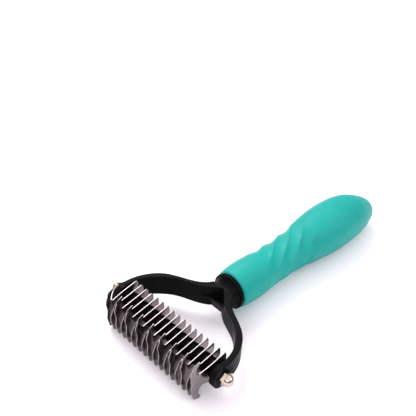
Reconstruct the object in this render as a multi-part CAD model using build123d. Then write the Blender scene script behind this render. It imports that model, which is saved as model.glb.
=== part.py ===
from build123d import *
from math import sqrt
import os

# Undercoat rake lying on its lower teeth and on the belly of its grip.
# X runs along the head's tie rod, +Y from the head to the butt of the grip, +Z is up.
# Everything is drawn with the tie rod's axis as the X axis and moved to its resting place
# when it is written: the origin is then the middle of the bounding box's bottom face.

# head
blade_count = 17
blade_pitch = 4.7            # from one blade to the next along the rod
blade_thickness = 0.5
spacer_diameter = 10.5
spacer_bore = 7.7            # clears the rod's corners
arm_inner_x = 40.15          # inner face of each arm's boss
arm_outer_x = 43.75          # outer face, where the cap nut sits
boss_radius = 7.6
boss_drop = 0.5              # the boss hangs a little below the rod's axis

# tie rod and cap nuts (M5)
rod_square = 5.0             # square bar that keys the blades
rod_corner = 0.4
stud_radius = 2.5
stud_length = 5.6            # stands out of the arm into the nut
square_play = 0.15           # each side of the bar
nut_flats = 8.0
nut_hex_height = 3.6
nut_height = 7.3
nut_dome_radius = 3.7
nut_bore_radius = 2.55
nut_bore_depth = 5.9

# yoke
yoke_half_depth = 7.35       # arms are ribbons this deep above and below the rod's axis
edge_round = 0.9
crotch_half_width = 3.8
crotch_y = 38.7
stem_y = 43.0
stem_half_width = 8.8
lip_top_z = 0.2              # a lip closes the crotch below this height
lip_front_y = 36.5
lip_back_y = 38.2
pocket_apex_y = 42.8         # the arms' inner faces meet here, above the lip
pocket_floor_z = -4.6
flange_start_y = 47.4
flange_end_y = 50.0
flange_radius = 11.75
flange_groove_y = 49.1
flange_groove_width = 0.5
flange_groove_depth = 0.45
tang_half = 4.5
tang_end_y = 118.0

# grip
grip_axis_z = 1.4            # the grip's axis passes a little above the rod
grip_gap = 0.3               # bond line between moulded layers
butt_y = 191.2
grip_stations = [            # distance from the rod, radius, drop of the section's centre
    (50.3, 12.2, 0.0), (56.0, 13.1, 0.0), (66.0, 13.4, 0.0), (80.0, 12.7, 0.0),
    (95.0, 12.6, 0.0), (108.0, 13.2, 0.0), (122.0, 15.0, 0.0), (136.0, 16.6, 0.0),
    (147.0, 16.8, 0.0), (158.0, 16.2, 0.3), (168.0, 14.6, 1.2), (177.0, 11.9, 2.8),
    (184.0, 8.9, 4.2), (188.8, 5.1, 5.2),
]
butt_drop = 5.6
core_wall = 3.0
core_end_y, core_end_radius, core_end_drop = 177.0, 8.9, 2.8

parts = {}


def blade_x(number):
    return (number - (blade_count + 1) / 2) * blade_pitch


def box_between(low, high):
    size = [b - a for a, b in zip(low, high)]
    centre = [(a + b) / 2 for a, b in zip(low, high)]
    return Pos(*centre) * Box(*size)


def rod_hole(low_x, high_x):
    side = rod_square + 2 * square_play
    return box_between((low_x, -side / 2, -side / 2), (high_x, side / 2, side / 2))


def tube_x(radius, low_x, high_x):
    return Pos((low_x + high_x) / 2, 0, 0) * Rot(0, 90, 0) * Cylinder(radius, high_x - low_x)


# Blades. Points are (Y, Z) about the rod: a long straight back edge, an upper tip behind it,
# and a sickle below. Every second blade also has a hook in front, above the sickle.
edge_front = (-11.8, 5.5)
upper_tip = (5.9, 9.05)
sickle_bottom = (-12.9, -14.6)
sickle_front = [(-15.9, -10.6), (-17.0, -5.6), (-16.6, -0.6)]


def blade_outline(hooked):
    knob_end = (-10.7, -12.7)
    hub_bottom = (0.5, -6.9)
    tip_back = (7.6, 7.5)
    edges = [Line(edge_front, upper_tip),
             ThreePointArc(upper_tip, (7.15, 8.7), tip_back),
             Spline([tip_back, (7.9, 4.2), (5.9, -3.4), hub_bottom], tangents=[(0.25, -1), (-1, 0)]),
             Spline([hub_bottom, (-5.7, -6.2), (-9.4, -5.0), (-11.9, -8.4), knob_end],
                    tangents=[(-1, 0), (0.75, -0.7)]),
             ThreePointArc(knob_end, (-10.5, -14.15), sickle_bottom)]
    if hooked:
        hook_tip = (-12.5, 15.0)
        hook_tip_end = (-11.8, 14.1)
        edges += [Spline([sickle_bottom] + sickle_front + [(-17.2, 3.2), (-17.7, 7.2), (-16.3, 11.5), hook_tip],
                         tangents=[(-1, 0), (1, 0.35)]),
                  ThreePointArc(hook_tip, (-11.85, 14.8), hook_tip_end),
                  Spline([hook_tip_end, (-13.0, 11.3), (-13.8, 8.5), (-13.4, 6.5), edge_front],
                         tangents=[(-0.35, -1), (1, 0.2)])]
    else:
        edges += [Spline([sickle_bottom] + sickle_front + [(-15.0, 2.9), edge_front],
                         tangents=[(-1, 0), (1, 0.2)])]
    return Plane.YZ * make_face(Wire(edges))


def make_blades():
    plates = {}
    for hooked in (True, False):
        plate = extrude(blade_outline(hooked), blade_thickness / 2, both=True)
        plates[hooked] = plate - rod_hole(-blade_thickness, blade_thickness)
    for number in range(1, blade_count + 1):
        parts[f"blade_{number:02d}"] = Pos(blade_x(number), 0, 0) * plates[number % 2 == 1]


def make_spacers():
    half = blade_thickness / 2
    for number in range(1, blade_count):
        low, high = blade_x(number) + half, blade_x(number + 1) - half
        ring = tube_x(spacer_diameter / 2, low, high) - tube_x(spacer_bore / 2, low - 1, high + 1)
        parts[f"spacer_{number:02d}"] = ring
    inner = blade_x(blade_count) + half
    ring = (tube_x(spacer_diameter / 2, inner, arm_inner_x)
            - tube_x(spacer_bore / 2, inner - 1, arm_inner_x + 1))
    parts["end_spacer_right"] = ring
    parts["end_spacer_left"] = mirror(ring, Plane.YZ)


def make_tie_rod():
    square_end = arm_outer_x - 1.0
    bar = box_between((-square_end, -rod_square / 2, -rod_square / 2),
                      (square_end, rod_square / 2, rod_square / 2))
    bar = chamfer(bar.edges().filter_by(Axis.X), rod_corner)
    stud_end = arm_outer_x + stud_length
    stud = tube_x(stud_radius, -stud_end, stud_end)
    parts["tie_rod"] = bar + chamfer(stud.edges().filter_by(GeomType.CIRCLE), 0.5)


def make_cap_nut():
    # hexagon with its corners turned to a cone, then a round crown
    base = arm_outer_x
    hexagon = Plane.YZ.offset(base) * RegularPolygon(nut_flats / sqrt(3), 6, rotation=30)
    prism = extrude(hexagon, nut_hex_height)
    corner_radius = nut_flats / sqrt(3)
    turned = tube_x(corner_radius, base, base + nut_hex_height)
    turned = chamfer(turned.edges().filter_by(GeomType.CIRCLE), 0.35, 0.6)
    crown_centre = base + nut_height - nut_dome_radius
    crown = (tube_x(nut_dome_radius, base + 0.5, crown_centre)
             + Pos(crown_centre, 0, 0) * Sphere(nut_dome_radius))
    nut = (prism & turned) + crown - tube_x(nut_bore_radius, base - 1, base + nut_bore_depth)
    parts["cap_nut_right"] = nut
    parts["cap_nut_left"] = mirror(nut, Plane.YZ)


# Yoke: two deep ribbon arms that bow out of a flared stem, moulded in one with its flange and tang.
def arm_outline():
    root = (stem_half_width, stem_y)
    outer_end, inner_end = (arm_outer_x, 0), (arm_inner_x, 0)
    crotch_corner = (crotch_half_width, crotch_y)
    outer = Spline([root, (11.8, 38.5), (22.3, 31.8), (32.8, 25.8), (39.8, 17.2), (43.3, 7.0), outer_end])
    inner = Spline([inner_end, (39.9, 5.2), (37.8, 12.6), (31.6, 21.2), (25.0, 26.8), (13.0, 32.4),
                    crotch_corner])
    return make_face(Wire([outer, Line(outer_end, inner_end), inner, Line(crotch_corner, (0, crotch_y)),
                           Line((0, crotch_y), (0, stem_y)), Line((0, stem_y), root)]))


def section_y(y, sketch):
    return Plane((0, y, 0), x_dir=(1, 0, 0), z_dir=(0, -1, 0)) * sketch


def make_stem():
    # the ribbons' rectangle grows into the flange's circle, which is centred on the grip
    foot = section_y(stem_y - 1.6, RectangleRounded(2 * stem_half_width, 2 * yoke_half_depth, 3.0))
    waist = section_y(stem_y + 1.4, Pos(0, 0.5) * RectangleRounded(2 * stem_half_width - 0.6,
                                                                  2 * yoke_half_depth + 0.4, 5.0))
    top = section_y(flange_start_y + 0.2, Pos(0, grip_axis_z) * Circle(flange_radius - 0.9))
    return loft([foot, waist, top])


def make_flange():
    disc = Cylinder(flange_radius, flange_end_y - flange_start_y)
    disc = fillet(disc.edges().filter_by(GeomType.CIRCLE), 0.6)
    groove = (Cylinder(flange_radius + 1, flange_groove_width)
              - Cylinder(flange_radius - flange_groove_depth, flange_groove_width))
    middle = (flange_start_y + flange_end_y) / 2
    turned = disc - Pos(0, 0, middle - flange_groove_y) * groove
    return Pos(0, middle, grip_axis_z) * Rot(90, 0, 0) * turned


def make_lip():
    # closes the lower half of the crotch, leaning back towards the bottom
    profile = Polygon((lip_front_y, lip_top_z), (lip_back_y, lip_top_z), (stem_y, lip_top_z - 3),
                      (stem_y, -yoke_half_depth), (crotch_y, -yoke_half_depth), align=None)
    return extrude(Plane.YZ * profile, crotch_half_width + 2.4, both=True)


def make_pocket():
    # three-cornered hollow between the arms: open in front above the lip, blind behind it
    mouth_y = lip_front_y - 2.2
    reach = (pocket_apex_y - mouth_y) * 1.16
    upper = Polygon((-reach, mouth_y), (reach, mouth_y), (0.7, pocket_apex_y), (-0.7, pocket_apex_y), align=None)
    behind = (pocket_apex_y - lip_back_y) * 1.02
    lower = Polygon((-behind, lip_back_y), (behind, lip_back_y), (0.7, pocket_apex_y - 0.3),
                    (-0.7, pocket_apex_y - 0.3), align=None)
    return (extrude(Plane.XY.offset(lip_top_z) * upper, 2 * yoke_half_depth)
            + extrude(Plane.XY.offset(pocket_floor_z) * lower, lip_top_z - pocket_floor_z + 0.1))


def make_yoke():
    arm = extrude(arm_outline(), yoke_half_depth, both=True)
    rims = arm.edges().filter_by(lambda e: abs(abs(e.center().Z) - yoke_half_depth) < 1e-3
                                 and e.geom_type == GeomType.BSPLINE)
    arm = fillet(rims, edge_round)
    arm += Pos(0, 0, -boss_drop) * tube_x(boss_radius, arm_inner_x, arm_outer_x)
    frame = arm + mirror(arm, Plane.YZ) + make_stem() + make_flange() + make_lip() - make_pocket()
    tang = box_between((-tang_half, flange_end_y - 1, grip_axis_z - tang_half),
                       (tang_half, tang_end_y, grip_axis_z + tang_half))
    frame += chamfer(tang.edges().filter_by(Axis.Y), 1.0)
    square_end = arm_outer_x - 0.8
    frame -= rod_hole(-square_end, square_end)
    frame -= tube_x(stud_radius + 0.3, -arm_outer_x - 1, arm_outer_x + 1)
    seats = (tube_x(spacer_diameter / 2 + 0.4, arm_inner_x - 3, arm_inner_x)
             + tube_x(nut_flats, arm_outer_x, arm_outer_x + 2))
    frame -= seats + mirror(seats, Plane.YZ)
    parts["yoke_frame"] = frame


def grip_body(inset, last_y):
    # round sections whose centres drop towards the butt
    return [section_y(y, Pos(0, grip_axis_z - drop) * Circle(radius - inset))
            for y, radius, drop in grip_stations if y <= last_y]


def make_grip():
    # a hard core on the yoke's tang, inside a soft sleeve with a solid butt
    socket_half = tang_half + square_play
    socket = box_between((-socket_half, 0, grip_axis_z - socket_half),
                         (socket_half, tang_end_y + grip_gap, grip_axis_z + socket_half))
    parts["grip_core"] = loft(grip_body(core_wall, core_end_y)) - socket
    cavity = loft(grip_body(core_wall - grip_gap, core_end_y))
    cavity += Pos(0, core_end_y, grip_axis_z - core_end_drop) * Rot(90, 0, 0) * Cylinder(
        core_end_radius + grip_gap, 2 * grip_gap)
    shell = loft(grip_body(0, butt_y) + [Vertex(0, butt_y, grip_axis_z - butt_drop)])
    parts["grip_sleeve"] = shell - cavity


make_blades()
make_spacers()
make_tie_rod()
make_cap_nut()
make_yoke()
make_grip()

# the row's origin: the middle of the whole rake's bounding box, on its bottom face
whole = Compound(children=[Compound([solid]) for solid in parts.values()]).bounding_box()
rest = Pos(-whole.center().X, -whole.center().Y, -whole.min.Z)
os.makedirs("parts", exist_ok=True)
for name, solid in parts.items():
    placed = rest * solid
    placed.label = name
    export_step(placed, f"parts/{name}.step")
print(f"moved by y {rest.position.Y:.3f}, z {rest.position.Z:.3f}; size {whole.size}")
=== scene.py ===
import bpy
import bmesh
from math import pi, radians
from mathutils import Euler, Matrix, Vector


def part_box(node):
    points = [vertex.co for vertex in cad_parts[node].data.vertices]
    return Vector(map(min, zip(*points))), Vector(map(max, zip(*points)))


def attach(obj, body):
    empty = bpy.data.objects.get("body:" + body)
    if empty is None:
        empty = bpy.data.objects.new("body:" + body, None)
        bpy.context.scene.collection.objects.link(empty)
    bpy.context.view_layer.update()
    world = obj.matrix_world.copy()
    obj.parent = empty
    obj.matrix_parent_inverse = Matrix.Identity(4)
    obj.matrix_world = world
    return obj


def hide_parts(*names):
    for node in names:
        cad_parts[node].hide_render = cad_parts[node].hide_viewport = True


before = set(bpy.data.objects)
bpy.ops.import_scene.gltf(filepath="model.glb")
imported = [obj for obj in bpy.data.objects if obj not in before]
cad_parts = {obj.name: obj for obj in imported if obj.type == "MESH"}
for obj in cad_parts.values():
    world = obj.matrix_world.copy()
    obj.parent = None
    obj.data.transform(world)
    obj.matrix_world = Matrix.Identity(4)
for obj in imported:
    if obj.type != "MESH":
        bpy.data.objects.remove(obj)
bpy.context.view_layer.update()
mm = 0.001
rodAt = sum(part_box("tie_rod"), Vector()) / 2    # middle of the rod, which the head is built round
print("frame loaded, rod at", tuple(round(v, 4) for v in rodAt))


def lin(red, green, blue):
    # screen colour 0-255 to the linear colour a shader takes
    def linear(c):
        return c / 3294.6 if c < 10.3 else ((c / 255 + 0.055) / 1.055) ** 2.4
    return (linear(red), linear(green), linear(blue), 1)


def addNode(tree, kind, at, **values):
    new = tree.nodes.new(kind)
    new.location = at
    for key, value in values.items():
        setattr(new, key, value)
    return new


def newGroup(name, inputs, outputs):
    # inputs: (name, socket type, default); outputs: (name, socket type)
    group = bpy.data.node_groups.new(name, "ShaderNodeTree")
    for label, kind, default in inputs:
        socket = group.interface.new_socket(label, in_out="INPUT", socket_type=kind)
        if default is not None:
            socket.default_value = default
    for label, kind in outputs:
        group.interface.new_socket(label, in_out="OUTPUT", socket_type=kind)
    return group, group.nodes.new("NodeGroupInput"), group.nodes.new("NodeGroupOutput")


def mathNode(tree, at, operation, a, b=None):
    new = addNode(tree, "ShaderNodeMath", at, operation=operation)
    for socket, value in zip(new.inputs, (a, b)):
        if isinstance(value, (int, float)):
            socket.default_value = value
        elif value is not None:
            tree.links.new(value, socket)
    return new.outputs[0]


def rangeNode(tree, at, value, low, high, toLow=0.0, toHigh=1.0):
    new = addNode(tree, "ShaderNodeMapRange", at)
    tree.links.new(value, new.inputs["Value"])
    for key, number in (("From Min", low), ("From Max", high), ("To Min", toLow), ("To Max", toHigh)):
        if isinstance(number, (int, float)):
            new.inputs[key].default_value = number
        else:
            tree.links.new(number, new.inputs[key])
    return new.outputs[0]


def mixColour(tree, at, factor, a, b):
    new = addNode(tree, "ShaderNodeMix", at, data_type="RGBA", blend_type="MIX")
    for socket, value in ((new.inputs[0], factor), (new.inputs[6], a), (new.inputs[7], b)):
        if isinstance(value, (int, float, tuple)):
            socket.default_value = value
        else:
            tree.links.new(value, socket)
    return new.outputs[2]


grainPattern = {"fineShare": 0.6, "cellShare": 0.4, "speckLow": 0.35, "speckHigh": 0.65}
smudgePattern = {"detail": 4, "distortion": 0.6, "low": 0.32, "high": 0.68}
linePattern = {"detail": 5, "low": 0.3, "high": 0.7}


def makeMouldGrain(pattern):
    # fine pebble of a moulded skin
    group, given, result = newGroup("mouldGrain", [("Vector", "NodeSocketVector", None),
                                                   ("Scale", "NodeSocketFloat", 1500.0),
                                                   ("Detail", "NodeSocketFloat", 3.0)],
                                    [("Height", "NodeSocketFloat"), ("Mask", "NodeSocketFloat")])
    fine = addNode(group, "ShaderNodeTexNoise", (0, 100))
    cells = addNode(group, "ShaderNodeTexVoronoi", (0, -150), feature="SMOOTH_F1")
    for tex in (fine, cells):
        group.links.new(given.outputs["Vector"], tex.inputs["Vector"])
        group.links.new(given.outputs["Scale"], tex.inputs["Scale"])
    group.links.new(given.outputs["Detail"], fine.inputs["Detail"])
    dust = mathNode(group, (250, 0), "MULTIPLY", fine.outputs[0], pattern["fineShare"])
    pebble = mathNode(group, (250, -150), "MULTIPLY", cells.outputs["Distance"], pattern["cellShare"])
    group.links.new(mathNode(group, (430, 0), "ADD", dust, pebble), result.inputs["Height"])
    mask = rangeNode(group, (430, -200), fine.outputs[0], pattern["speckLow"], pattern["speckHigh"])
    group.links.new(mask, result.inputs["Mask"])
    return group


def makeHandling(pattern):
    # broad smudges left by handling, as a roughness
    group, given, result = newGroup("handling", [("Vector", "NodeSocketVector", None),
                                                 ("Scale", "NodeSocketFloat", 60.0),
                                                 ("Low", "NodeSocketFloat", 0.35),
                                                 ("High", "NodeSocketFloat", 0.5)],
                                    [("Roughness", "NodeSocketFloat"), ("Mask", "NodeSocketFloat")])
    broad = addNode(group, "ShaderNodeTexNoise", (0, 0))
    broad.inputs["Detail"].default_value = pattern["detail"]
    broad.inputs["Distortion"].default_value = pattern["distortion"]
    group.links.new(given.outputs["Vector"], broad.inputs["Vector"])
    group.links.new(given.outputs["Scale"], broad.inputs["Scale"])
    mask = rangeNode(group, (200, 0), broad.outputs[0], pattern["low"], pattern["high"])
    group.links.new(mask, result.inputs["Mask"])
    group.links.new(rangeNode(group, (400, 0), mask, 0.0, 1.0, given.outputs["Low"], given.outputs["High"]),
                    result.inputs["Roughness"])
    return group


def makeBrushed(pattern):
    # drawn-out lines of a ground or rolled metal face; Stretch squeezes the pattern along the lines
    group, given, result = newGroup("brushed", [("Vector", "NodeSocketVector", None),
                                                ("Stretch", "NodeSocketVector", (1, 1, 1)),
                                                ("Scale", "NodeSocketFloat", 900.0)],
                                    [("Height", "NodeSocketFloat"), ("Mask", "NodeSocketFloat")])
    squeeze = addNode(group, "ShaderNodeVectorMath", (0, 0), operation="MULTIPLY")
    group.links.new(given.outputs["Vector"], squeeze.inputs[0])
    group.links.new(given.outputs["Stretch"], squeeze.inputs[1])
    lines = addNode(group, "ShaderNodeTexNoise", (200, 0))
    lines.inputs["Detail"].default_value = pattern["detail"]
    group.links.new(squeeze.outputs[0], lines.inputs["Vector"])
    group.links.new(given.outputs["Scale"], lines.inputs["Scale"])
    group.links.new(lines.outputs[0], result.inputs["Height"])
    mask = rangeNode(group, (400, -100), lines.outputs[0], pattern["low"], pattern["high"])
    group.links.new(mask, result.inputs["Mask"])
    return group


mouldGrain = makeMouldGrain(grainPattern)
handling = makeHandling(smudgePattern)
brushed = makeBrushed(linePattern)
print("surface patterns made")


def newMaterial(name, settings):
    material = bpy.data.materials.new(name)
    material.use_nodes = True
    tree = material.node_tree
    shader = tree.nodes["Principled BSDF"]
    shader.inputs["Metallic"].default_value = settings.get("metallic", 0.0)
    for key, value in settings.get("sockets", {}).items():
        shader.inputs[key].default_value = value
    coords = addNode(tree, "ShaderNodeTexCoord", (-1400, 0))
    return material, tree, shader, coords


def useGroup(tree, group, at, vector, **values):
    new = addNode(tree, "ShaderNodeGroup", at, node_tree=group)
    tree.links.new(vector, new.inputs["Vector"])
    for key, value in values.items():
        new.inputs[key].default_value = value
    return new


def addBump(tree, shader, height, strength, distance):
    bump = addNode(tree, "ShaderNodeBump", (-250, -350))
    bump.inputs["Strength"].default_value = strength
    bump.inputs["Distance"].default_value = distance
    tree.links.new(height, bump.inputs["Height"])
    tree.links.new(bump.outputs["Normal"], shader.inputs["Normal"])


def plasticMaterial(name, settings):
    # moulded plastic or rubber: colour drift, fine grain, smudged gloss
    material, tree, shader, coords = newMaterial(name, settings)
    point = coords.outputs["Object"]
    grain = useGroup(tree, mouldGrain, (-1000, -300), point, Scale=settings["grainScale"])
    marks = useGroup(tree, handling, (-1000, 0), point, Scale=settings["markScale"],
                     Low=settings["roughLow"], High=settings["roughHigh"])
    drift = mixColour(tree, (-600, 200), marks.outputs["Mask"], settings["colour"], settings["drift"])
    amount = mathNode(tree, (-600, -100), "MULTIPLY", grain.outputs["Mask"], settings["speck"])
    speck = mixColour(tree, (-400, 200), amount, drift, settings["speckColour"])
    tree.links.new(speck, shader.inputs["Base Color"])
    tree.links.new(marks.outputs["Roughness"], shader.inputs["Roughness"])
    addBump(tree, shader, grain.outputs["Height"], settings["bump"], settings["bumpDepth"])
    return material


def metalMaterial(name, settings):
    # metal with brushed lines, smudges and, where asked, a painted highlight on the cut edges
    material, tree, shader, coords = newMaterial(name, settings)
    point = coords.outputs["Object"]
    lines = useGroup(tree, brushed, (-1000, -300), point, Scale=settings["lineScale"],
                     Stretch=settings["stretch"])
    marks = useGroup(tree, handling, (-1000, 0), point, Scale=settings["markScale"],
                     Low=settings["roughLow"], High=settings["roughHigh"])
    tone = mixColour(tree, (-600, 200), marks.outputs["Mask"], settings["colour"], settings["drift"])
    amount = mathNode(tree, (-600, -60), "MULTIPLY", lines.outputs["Mask"], settings["lineTone"])
    tone = mixColour(tree, (-420, 200), amount, tone, settings["lineColour"])
    rough = marks.outputs["Roughness"]
    if "edgeHighlightColour" in settings:
        # the plates lie flat across X, so a surface that faces elsewhere is a cut edge; these cut edges are
        # given a lighter colour as a painted highlight
        split = addNode(tree, "ShaderNodeSeparateXYZ", (-1000, 400))
        tree.links.new(coords.outputs["Normal"], split.inputs[0])
        side = mathNode(tree, (-800, 400), "ABSOLUTE", split.outputs["X"])
        cut = rangeNode(tree, (-600, 420), side, settings["faceFrom"], settings["edgeFrom"])
        tone = mixColour(tree, (-240, 260), cut, tone, settings["edgeHighlightColour"])
        extra = mathNode(tree, (-420, 60), "MULTIPLY", cut, settings["edgeRough"])
        rough = mathNode(tree, (-240, 60), "ADD", rough, extra)
    tree.links.new(tone, shader.inputs["Base Color"])
    tree.links.new(rough, shader.inputs["Roughness"])
    addBump(tree, shader, lines.outputs["Height"], settings["bump"], settings["bumpDepth"])
    return material


stainlessSettings = {
    "metallic": 1.0, "colour": (0.235, 0.203, 0.206, 1), "drift": (0.19, 0.163, 0.166, 1),
    "lineColour": (0.30, 0.262, 0.266, 1), "lineTone": 0.5, "lineScale": 700.0, "stretch": (1, 0.12, 1),
    "markScale": 90.0, "roughLow": 0.17, "roughHigh": 0.27, "bump": 0.15, "bumpDepth": 0.00004,
    # the edge colour below is a painted highlight on the cut edges, lighter than the faces
    "edgeHighlightColour": (0.37, 0.315, 0.32, 1), "edgeRough": 0.06, "faceFrom": 0.97, "edgeFrom": 0.6,
}
nickelSettings = {
    "metallic": 1.0, "colour": lin(206, 192, 182), "drift": lin(186, 170, 160),
    "lineColour": lin(220, 208, 198), "lineTone": 0.4, "lineScale": 600.0, "stretch": (0.3, 1, 1),
    "markScale": 160.0, "roughLow": 0.04, "roughHigh": 0.11, "bump": 0.08, "bumpDepth": 0.00003,
}
barSettings = {
    "metallic": 1.0, "colour": (0.50, 0.50, 0.51, 1), "drift": (0.42, 0.42, 0.43, 1),
    "lineColour": (0.6, 0.6, 0.6, 1), "lineTone": 0.5, "lineScale": 500.0, "stretch": (0.1, 1, 1),
    "markScale": 120.0, "roughLow": 0.25, "roughHigh": 0.4, "bump": 0.2, "bumpDepth": 0.00005,
}
nylonSettings = {
    "colour": lin(10, 10, 11), "drift": lin(14, 13, 15), "speckColour": lin(24, 23, 25), "speck": 0.25,
    "grainScale": 1300.0, "markScale": 70.0, "roughLow": 0.38, "roughHigh": 0.5, "bump": 0.35,
    "bumpDepth": 0.00006, "sockets": {"Specular IOR Level": 0.05},
}
spacerSettings = {
    "colour": lin(6, 6, 6), "drift": lin(10, 9, 10), "speckColour": lin(18, 17, 18), "speck": 0.2,
    "grainScale": 1600.0, "markScale": 130.0, "roughLow": 0.34, "roughHigh": 0.45, "bump": 0.2,
    "bumpDepth": 0.00004, "sockets": {"Specular IOR Level": 0.07},
}
coreSettings = {
    "colour": lin(56, 56, 58), "drift": lin(66, 66, 67), "speckColour": lin(80, 80, 80), "speck": 0.2,
    "grainScale": 1200.0, "markScale": 60.0, "roughLow": 0.45, "roughHigh": 0.6, "bump": 0.3,
    "bumpDepth": 0.00006,
}
tealSettings = {
    "colour": lin(18, 159, 151), "drift": lin(15, 152, 144), "speckColour": lin(32, 167, 159), "speck": 0.25,
    "grainScale": 1500.0, "markScale": 45.0, "roughLow": 0.42, "roughHigh": 0.54, "bump": 0.3,
    "bumpDepth": 0.00006, "sockets": {"Specular IOR Level": 0.24},
}
stainlessSteel = metalMaterial("stainless blade steel", stainlessSettings)
nickelPlate = metalMaterial("polished nickel plate", nickelSettings)
barSteel = metalMaterial("bright bar steel", barSettings)
blackNylon = plasticMaterial("black nylon moulding", nylonSettings)
spacerPlastic = plasticMaterial("black spacer plastic", spacerSettings)
corePlastic = plasticMaterial("grip core plastic", coreSettings)
tealRubber = plasticMaterial("teal soft-touch rubber", tealSettings)
print("materials made")


weldWithin = 2e-6                       # metres, joins the split corners of a CAD mesh
plainSmooth = 38                        # degrees, an edge sharper than this stays a crease


def newPiece(name, bm, material, smoothAngle=plainSmooth):
    mesh = bpy.data.meshes.new(name)
    bm.to_mesh(mesh)
    bm.free()
    piece = bpy.data.objects.new(name, mesh)
    bpy.context.scene.collection.objects.link(piece)
    mesh.materials.append(material)
    mesh.set_sharp_from_angle(angle=radians(smoothAngle))
    return piece


def standFor(piece, node, body):
    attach(piece, body)
    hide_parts(node)


def softened(node, edge):
    # a copy of a CAD node with its triangles merged into faces and its sharp edges broken
    bm = bmesh.new()
    bm.from_mesh(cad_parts[node].data)
    bmesh.ops.remove_doubles(bm, verts=bm.verts, dist=weldWithin)
    bmesh.ops.dissolve_limit(bm, angle_limit=radians(edge["flat"]), verts=bm.verts, edges=bm.edges)
    sharp = [e for e in bm.edges if e.is_manifold and e.calc_face_angle() > radians(edge["sharp"])]
    bmesh.ops.bevel(bm, geom=sharp, offset=edge["width"], offset_type="OFFSET",
                    segments=edge["segments"], profile=0.5, affect="EDGES", clamp_overlap=True,
                    material=-1)
    return bm


bladeEdge = {"flat": 0.3, "sharp": 50, "width": 0.09 * mm, "segments": 2}
bladeSmooth = 30
endBladeLean = {"start": 4.0 * mm, "reach": 13.0 * mm, "lean": 1.2 * mm, "bend": 1.5, "cuts": 6,
                "onPlane": 1e-7, "weldWithin": 5e-6}


def leanInward(bm, side, shape):
    # the front of an end plate is sprung a little towards the middle of the row
    for i in range(shape["cuts"]):
        cutAt = rodAt.y - shape["start"] - shape["reach"] * i / shape["cuts"]
        bmesh.ops.bisect_plane(bm, geom=bm.verts[:] + bm.edges[:] + bm.faces[:],
                               dist=shape["onPlane"], plane_no=(0, 1, 0), plane_co=(0, cutAt, 0))
    bmesh.ops.remove_doubles(bm, verts=bm.verts, dist=shape["weldWithin"])
    for v in bm.verts:
        ahead = max(rodAt.y - shape["start"] - v.co.y, 0.0) / shape["reach"]
        v.co.x -= side * shape["lean"] * ahead ** shape["bend"]


def makeBlades():
    nodes = sorted(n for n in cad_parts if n.startswith("blade_"))
    for node in nodes:
        bm = softened(node, bladeEdge)
        if node in (nodes[0], nodes[-1]):
            leanInward(bm, -1 if node == nodes[0] else 1, endBladeLean)
        blade = newPiece(node + "_plate", bm, stainlessSteel, bladeSmooth)
        standFor(blade, node, "rake")


makeBlades()
print("blades made")


spacerEdge = {"flat": 0.3, "sharp": 50, "width": 0.15 * mm, "segments": 2}
nutEdge = {"flat": 0.3, "sharp": 25, "width": 0.14 * mm, "segments": 3}
nutTurn = 8                             # degrees that both nuts stopped at when they were tightened


def makeStack():
    for node in sorted(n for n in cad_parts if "spacer" in n):
        spacer = newPiece(node + "_tube", softened(node, spacerEdge), spacerPlastic)
        standFor(spacer, node, "rake")
    for side in ("left", "right"):
        node = "cap_nut_" + side
        bm = softened(node, nutEdge)
        turned = Matrix.Rotation(radians(nutTurn), 3, "X")
        bmesh.ops.rotate(bm, verts=bm.verts, cent=rodAt, matrix=turned)
        nut = newPiece(node + "_plated", bm, nickelPlate)
        standFor(nut, node, node)


makeStack()
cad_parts["tie_rod"].material_slots[0].material = barSteel
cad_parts["grip_core"].material_slots[0].material = corePlastic
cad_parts["yoke_frame"].material_slots[0].material = blackNylon
print("stack and nuts made")


gripShape = {
    # distance behind the rod, radius, drop of the section's middle, in millimetres
    "stations": [(50.3, 12.2, 0.0), (56.0, 13.1, 0.0), (66.0, 13.4, 0.0), (80.0, 12.7, 0.0),
                 (95.0, 12.6, 0.0), (108.0, 13.2, 0.0), (122.0, 15.0, 0.0), (136.0, 16.6, 0.0),
                 (147.0, 16.8, 0.0), (158.0, 16.2, 0.3), (168.0, 14.6, 1.2), (177.0, 11.9, 2.8),
                 (184.0, 8.9, 4.2), (188.8, 5.1, 5.2), (191.2, 0.0, 5.6)],
    "axisHeight": 1.4,                           # above the rod
    "rings": 260, "crowding": 1.6,               # rings lie closer together towards the butt
    "around": 240, "smooth": 60,
    "mouthRound": 0.5, "mouthReach": 0.8,
    "wall": 2.7, "cavityEnd": 177.3, "cavityRings": 40,
    "flutes": 8, "lead": 115.0, "fluteDepth": 1.2,
    "fluteStart": 72.0, "fluteEnd": 124.0, "fluteFade": 13.0,
    "skin": 1.2,                                 # only points this near the outside are fluted
    "onAxis": 1e-3, "weldWithin": 1e-6,
}


def smoothStep(value, low, high):
    t = min(max((value - low) / (high - low), 0.0), 1.0)
    return t * t * (3 - 2 * t)


def stationCurve(stations, y, column):
    # smooth curve through the stations
    ys = [s[0] for s in stations]
    vs = [s[column] for s in stations]
    slopes = []
    for i in range(len(ys)):
        a, b = max(i - 1, 0), min(i + 1, len(ys) - 1)
        slopes.append((vs[b] - vs[a]) / (ys[b] - ys[a]))
    for i in range(len(ys) - 1):
        if y <= ys[i + 1] or i == len(ys) - 2:
            h = ys[i + 1] - ys[i]
            t = (y - ys[i]) / h
            return ((2 * t ** 3 - 3 * t ** 2 + 1) * vs[i] + (t ** 3 - 2 * t ** 2 + t) * h * slopes[i]
                    + (3 * t ** 2 - 2 * t ** 3) * vs[i + 1] + (t ** 3 - t ** 2) * h * slopes[i + 1])


def gripRadius(shape, y):
    # the radius squared runs evenly to nothing at the butt, which rounds it off
    squares = [(station[0], station[1] ** 2) for station in shape["stations"]]
    return max(stationCurve(squares, y, 1), 0.0) ** 0.5


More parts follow.
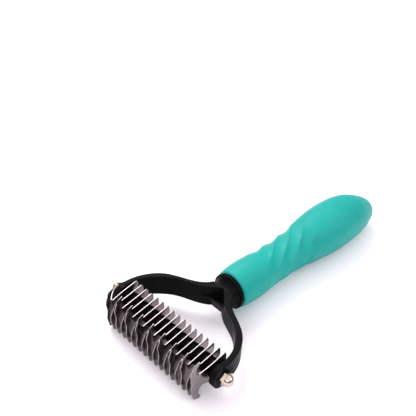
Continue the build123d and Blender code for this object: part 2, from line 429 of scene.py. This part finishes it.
def fluteCut(shape, y, angle):
    # hollow flutes that meet in crests and wind round the grip
    rise = smoothStep(y, shape["fluteStart"], shape["fluteStart"] + shape["fluteFade"])
    fall = smoothStep(y, shape["fluteEnd"] - shape["fluteFade"], shape["fluteEnd"])
    fade = rise * (1 - fall)
    turn = angle / (2 * pi) - y / shape["lead"]
    across = abs((turn * shape["flutes"]) % 1.0 - 0.5) * 2          # 1 at a crest, 0 in the hollow
    hollow = 1 - across ** 2
    return shape["fluteDepth"] * fade * hollow


def gripOutline(shape):
    # half section, from the butt along the outside to the mouth and back down the cavity
    first, last = shape["stations"][0][0], shape["stations"][-1][0]
    outline = []
    for i in range(shape["rings"] + 1):
        t = i / shape["rings"]
        y = first + (last - first) * (1 - (1 - t) ** shape["crowding"])
        inset = shape["mouthRound"] * max(0.0, 1 - (y - first) / shape["mouthReach"]) ** 2
        outline.append((gripRadius(shape, y) - inset, y))
    outline.reverse()
    for i in range(shape["cavityRings"] + 1):
        y = first + (shape["cavityEnd"] - first) * i / shape["cavityRings"]
        outline.append((gripRadius(shape, y) - shape["wall"], y))
    outline.append((0.0, shape["cavityEnd"]))
    return outline


def makeGrip(shape):
    bm = bmesh.new()
    verts = [bm.verts.new((r * mm, y * mm, 0)) for r, y in gripOutline(shape)]
    edges = [bm.edges.new(pair) for pair in zip(verts, verts[1:])]
    bmesh.ops.spin(bm, geom=verts + edges, cent=(0, 0, 0), axis=(0, 1, 0), angle=2 * pi,
                   steps=shape["around"], use_merge=True)
    bmesh.ops.remove_doubles(bm, verts=bm.verts, dist=shape["weldWithin"])
    bmesh.ops.recalc_face_normals(bm, faces=bm.faces)
    for v in bm.verts:
        y = v.co.y / mm
        radius = (v.co.x ** 2 + v.co.z ** 2) ** 0.5 / mm
        if radius > gripRadius(shape, y) - shape["skin"] and radius > shape["onAxis"]:
            angle = Vector((v.co.x, v.co.z)).angle_signed(Vector((1, 0)), 0)
            factor = 1 - fluteCut(shape, y, angle) / radius
            v.co.x, v.co.z = v.co.x * factor, v.co.z * factor
        v.co.z -= stationCurve(shape["stations"], y, 2) * mm
    bmesh.ops.translate(bm, verts=bm.verts, vec=rodAt + Vector((0, 0, shape["axisHeight"] * mm)))
    grip = newPiece("grip_rubber", bm, tealRubber, shape["smooth"])
    standFor(grip, "grip_sleeve", "rake")


makeGrip(gripShape)
print("grip made")


floorSettings = {
    "halfWidth": 3.0, "hazeScale": 1.5, "colour": (0.93, 0.885, 0.935, 1), "haze": (0.95, 0.91, 0.955, 1),
    "rough": 0.6, "specular": 0.2, "glow": (1.0, 0.97, 1.0, 1), "glowStrength": 0.06,
}
roomSettings = {
    # heights are the upward share of a direction, 0 level and 1 straight up
    "wallTop": 0.2, "ceilingFrom": 0.7, "walls": (0.07, 0.066, 0.07, 1), "ceiling": (1.0, 0.99, 1.0, 1),
    "strength": 1.3,
}
lampSettings = {
    # place, size, watts, colour
    "window": ((-0.75, 0.15, 0.85), 0.8, 9.0, (1.0, 1.0, 1.0)),
    "front fill": ((0.5, -0.9, 0.7), 0.9, 2.5, (1.0, 0.98, 0.97)),
    "side fill": ((0.75, 0.5, 0.7), 0.8, 2.0, (1.0, 0.99, 1.0)),
}
lampAim = Vector((0, 0, 0.01))
cameraSettings = {
    "fromRod": (0.226675, -0.213243, 0.336140), "turn": (51.8117, -3.0402, 45.97),
    "lens": 67.839, "sensor": 36.0, "near": 0.01, "far": 20.0,
}


def makeFloor(settings):
    bm = bmesh.new()
    bmesh.ops.create_grid(bm, x_segments=2, y_segments=2, size=settings["halfWidth"])
    floorMaterial, tree, shader, coords = newMaterial("pale floor", {})
    haze = addNode(tree, "ShaderNodeTexNoise", (-900, 0))
    haze.inputs["Scale"].default_value = settings["hazeScale"]
    tree.links.new(coords.outputs["Object"], haze.inputs["Vector"])
    tone = mixColour(tree, (-500, 0), haze.outputs[0], settings["colour"], settings["haze"])
    tree.links.new(tone, shader.inputs["Base Color"])
    shader.inputs["Roughness"].default_value = settings["rough"]
    shader.inputs["Specular IOR Level"].default_value = settings["specular"]
    shader.inputs["Emission Color"].default_value = settings["glow"]
    shader.inputs["Emission Strength"].default_value = settings["glowStrength"]
    floor = newPiece("floor", bm, floorMaterial)


def makeRoom(settings):
    # a white ceiling over dimmer walls
    world = bpy.data.worlds.new("studio")
    bpy.context.scene.world = world
    world.use_nodes = True
    tree = world.node_tree
    sky = tree.nodes["Background"]
    aim = addNode(tree, "ShaderNodeTexCoord", (-900, 0))
    split = addNode(tree, "ShaderNodeSeparateXYZ", (-700, 0))
    tree.links.new(aim.outputs["Generated"], split.inputs[0])
    height = rangeNode(tree, (-500, 0), split.outputs["Z"], settings["wallTop"], settings["ceilingFrom"])
    tree.links.new(mixColour(tree, (-250, 0), height, settings["walls"], settings["ceiling"]),
                   sky.inputs["Color"])
    sky.inputs["Strength"].default_value = settings["strength"]


def makeLamps(settings):
    for name, (place, size, watts, colour) in settings.items():
        lamp = bpy.data.lights.new(name, "AREA")
        lamp.shape, lamp.size, lamp.energy, lamp.color = "DISK", size, watts, colour
        holder = bpy.data.objects.new(name, lamp)
        holder.location = place
        holder.rotation_euler = (lampAim - Vector(place)).to_track_quat("-Z", "Y").to_euler()
        bpy.context.scene.collection.objects.link(holder)


def makeCamera(settings):
    lens = bpy.data.cameras.new("camera")
    lens.lens, lens.sensor_width = settings["lens"], settings["sensor"]
    lens.clip_start, lens.clip_end = settings["near"], settings["far"]
    camera = bpy.data.objects.new("camera", lens)
    camera.location = rodAt + Vector(settings["fromRod"])
    camera.rotation_euler = Euler([radians(angle) for angle in settings["turn"]], "XYZ")
    bpy.context.scene.collection.objects.link(camera)
    bpy.context.scene.camera = camera


makeFloor(floorSettings)
makeRoom(roomSettings)
makeLamps(lampSettings)
makeCamera(cameraSettings)
bpy.context.scene.view_settings.view_transform = "Standard"
